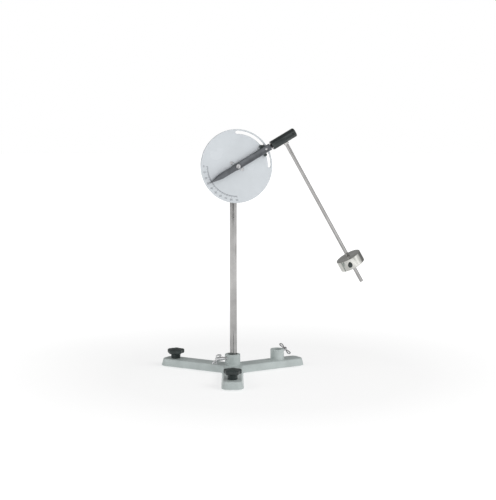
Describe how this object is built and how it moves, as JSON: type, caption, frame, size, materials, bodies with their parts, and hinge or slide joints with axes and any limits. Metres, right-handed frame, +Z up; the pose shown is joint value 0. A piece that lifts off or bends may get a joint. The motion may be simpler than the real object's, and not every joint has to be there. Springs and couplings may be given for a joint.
{
  "type": "variable-g pendulum",
  "caption": "Pendulum on ball bearings whose swing axis tilts over a graduated dial, held by a rod on a tripod stand with levelling screws.",
  "frame": {"origin": "middle of the bounding box's bottom face at rest, on the bench under the feet", "axes": "+Z up along the stand rod, +X to the right along the dial, towards the pendulum, -Y out of the dial's face"},
  "size_m": [0.3904, 0.2843, 0.4895],
  "materials": {
    "base_paint": "light grey hammered paint",
    "rubber": "matt black rubber",
    "knob_plastic": "satin black moulded plastic",
    "zinc_steel": "bright zinc plate",
    "stainless_steel": "drawn and polished",
    "dial_plastic": "glossy pale grey plastic, printed scale",
    "black_steel": "black oxide",
    "clamp_alloy": "black anodised",
    "arm_anodised": "dark grey anodised, brushed",
    "block_anodised": "black anodised",
    "bronze": "turned",
    "bearing_steel": "ground and polished"
  },
  "bodies": {
    "base": {"base_hub": "base_paint", "left_leg": "base_paint", "front_leg": "base_paint", "right_leg": "base_paint", "rod_socket": "base_paint", "right_leg_toe": "base_paint", "fixed_foot": "rubber"},
    "left_foot": {"left_levelling_stud": "zinc_steel", "left_foot_pad": "rubber"},
    "left_knob": {"left_levelling_knob": "knob_plastic"},
    "front_foot": {"front_levelling_stud": "zinc_steel", "front_foot_pad": "rubber"},
    "front_knob": {"front_levelling_knob": "knob_plastic"},
    "hub_screw": {"hub_screw_shank": "zinc_steel"},
    "hub_handle": {"hub_screw_handle": "zinc_steel"},
    "socket_screw": {"socket_screw_shank": "zinc_steel"},
    "socket_handle": {"socket_screw_handle": "zinc_steel"},
    "rod": {"stand_rod": "stainless_steel"},
    "head": {"rod_clamp_block": "clamp_alloy", "dial_screws": "zinc_steel", "scale_disc": "dial_plastic", "pivot_screw": "zinc_steel"},
    "head_screw": {"head_clamp_stud": "zinc_steel"},
    "head_knob": {"head_clamp_knob": "knob_plastic"},
    "arm": {"pointer_arm": "arm_anodised", "pivot_bush": "bronze", "friction_bar": "knob_plastic", "lock_stud": "zinc_steel", "lock_washer": "zinc_steel", "bearing_axle": "black_steel", "inner_rings": "bearing_steel", "bearing_spacer": "bearing_steel", "retaining_washer": "bearing_steel", "retaining_screw": "black_steel"},
    "lock_nut": {"lock_insert": "bronze"},
    "lock_grip": {"lock_knob": "knob_plastic"},
    "cages": {"ball_cages": "bronze", "bearing_balls": "bearing_steel"},
    "pendulum": {"bearing_housing": "block_anodised", "outer_rings": "bearing_steel", "end_cap": "block_anodised", "grub_screw": "black_steel", "rod_lock_nut": "stainless_steel", "pendulum_rod": "stainless_steel"},
    "bob": {"bob_weight": "stainless_steel"},
    "bob_screw": {"bob_screw_stud": "black_steel"},
    "bob_knob": {"bob_screw_knob": "knob_plastic"}
  },
  "joints": [
    {"name": "left_level_travel", "type": "slide", "parent": "base", "child": "left_foot", "axis": [0, 0, 1], "range_m": [0, 0.004]},
    {"name": "left_level_turn", "type": "hinge", "parent": "left_foot", "child": "left_knob", "pos_m": [-0.16631, 0.11344, 0], "axis": [0, 0, 1], "range_deg": [0, 1153.6]},
    {"name": "front_level_travel", "type": "slide", "parent": "base", "child": "front_foot", "axis": [0, 0, 1], "range_m": [0, 0.004]},
    {"name": "front_level_turn", "type": "hinge", "parent": "front_foot", "child": "front_knob", "pos_m": [-0.10138, -0.113, 0], "axis": [0, 0, 1], "range_deg": [0, 1153.6]},
    {"name": "hub_clamp_travel", "type": "slide", "parent": "base", "child": "hub_screw", "axis": [-0.9613, -0.2756, 0], "range_m": [0, 0.002]},
    {"name": "hub_clamp_turn", "type": "hinge", "parent": "hub_screw", "child": "hub_handle", "pos_m": [-0.06847, 0.01896, 0.0315], "axis": [-0.9613, -0.2756, 0], "range_deg": [0, 721]},
    {"name": "socket_clamp_travel", "type": "slide", "parent": "base", "child": "socket_screw", "axis": [0.6947, 0.7193, 0], "range_m": [-0.006, 0]},
    {"name": "socket_clamp_turn", "type": "hinge", "parent": "socket_screw", "child": "socket_handle", "pos_m": [0.03342, 0.04818, 0.033], "axis": [0.6947, 0.7193, 0], "range_deg": [-2163, 0]},
    {"name": "rod_turn", "type": "hinge", "parent": "base", "child": "rod", "pos_m": [-0.0666, 0.0195, 0], "axis": [0, 0, 1], "range_deg": [-180, 180]},
    {"name": "head_height", "type": "slide", "parent": "rod", "child": "head", "axis": [0, 0, 1], "range_m": [-0.06, 0.02]},
    {"name": "head_clamp_travel", "type": "slide", "parent": "head", "child": "head_screw", "axis": [0, 1, 0], "range_m": [0, 0.002]},
    {"name": "head_clamp_turn", "type": "hinge", "parent": "head_screw", "child": "head_knob", "pos_m": [-0.0666, 0.0195, 0.416], "axis": [0, 1, 0], "range_deg": [0, 721]},
    {"name": "arm_tilt", "type": "hinge", "parent": "head", "child": "arm", "pos_m": [-0.0666, 0.0195, 0.416], "axis": [0, -1, 0], "range_deg": [-30, 60]},
    {"name": "arm_lock_travel", "type": "slide", "parent": "arm", "child": "lock_nut", "axis": [0, 1, 0], "range_m": [0, 0.0016]},
    {"name": "arm_lock_turn", "type": "hinge", "parent": "lock_nut", "child": "lock_grip", "pos_m": [-0.00944, 0.0195, 0.449], "axis": [0, 1, 0], "range_deg": [0, 721]},
    {"name": "pendulum_swing", "type": "hinge", "parent": "arm", "child": "pendulum", "pos_m": [-0.0666, -0.0175, 0.416], "axis": [0.866, 0, 0.5], "range_deg": [-180, 180]},
    {"name": "cage_turn", "type": "hinge", "parent": "arm", "child": "cages", "pos_m": [-0.0666, -0.0175, 0.416], "axis": [0.866, 0, 0.5], "range_deg": [-111, 111]},
    {"name": "bob_slide", "type": "slide", "parent": "pendulum", "child": "bob", "axis": [0.5, 0, -0.866], "range_m": [-0.235, 0.038]},
    {"name": "bob_clamp_travel", "type": "slide", "parent": "bob", "child": "bob_screw", "axis": [-0.3384, -0.9205, -0.1954], "range_m": [0, 0.0014]},
    {"name": "bob_clamp_turn", "type": "hinge", "parent": "bob_screw", "child": "bob_knob", "pos_m": [0.16756, -0.0175, 0.22442], "axis": [-0.3384, -0.9205, -0.1954], "range_deg": [0, 721]}
  ],
  "couplings": [
    {"joint": "left_level_turn", "follows": "left_level_travel", "rad_per_m": 5026.5},
    {"joint": "front_level_turn", "follows": "front_level_travel", "rad_per_m": 5026.5},
    {"joint": "hub_clamp_turn", "follows": "hub_clamp_travel", "rad_per_m": 6283.2},
    {"joint": "socket_clamp_turn", "follows": "socket_clamp_travel", "rad_per_m": 6283.2},
    {"joint": "head_clamp_turn", "follows": "head_clamp_travel", "rad_per_m": 6283.2},
    {"joint": "arm_lock_turn", "follows": "arm_lock_travel", "rad_per_m": 7854},
    {"joint": "cage_turn", "follows": "pendulum_swing", "ratio": 0.61111},
    {"joint": "bob_clamp_turn", "follows": "bob_clamp_travel", "rad_per_m": 8976}
  ]
}
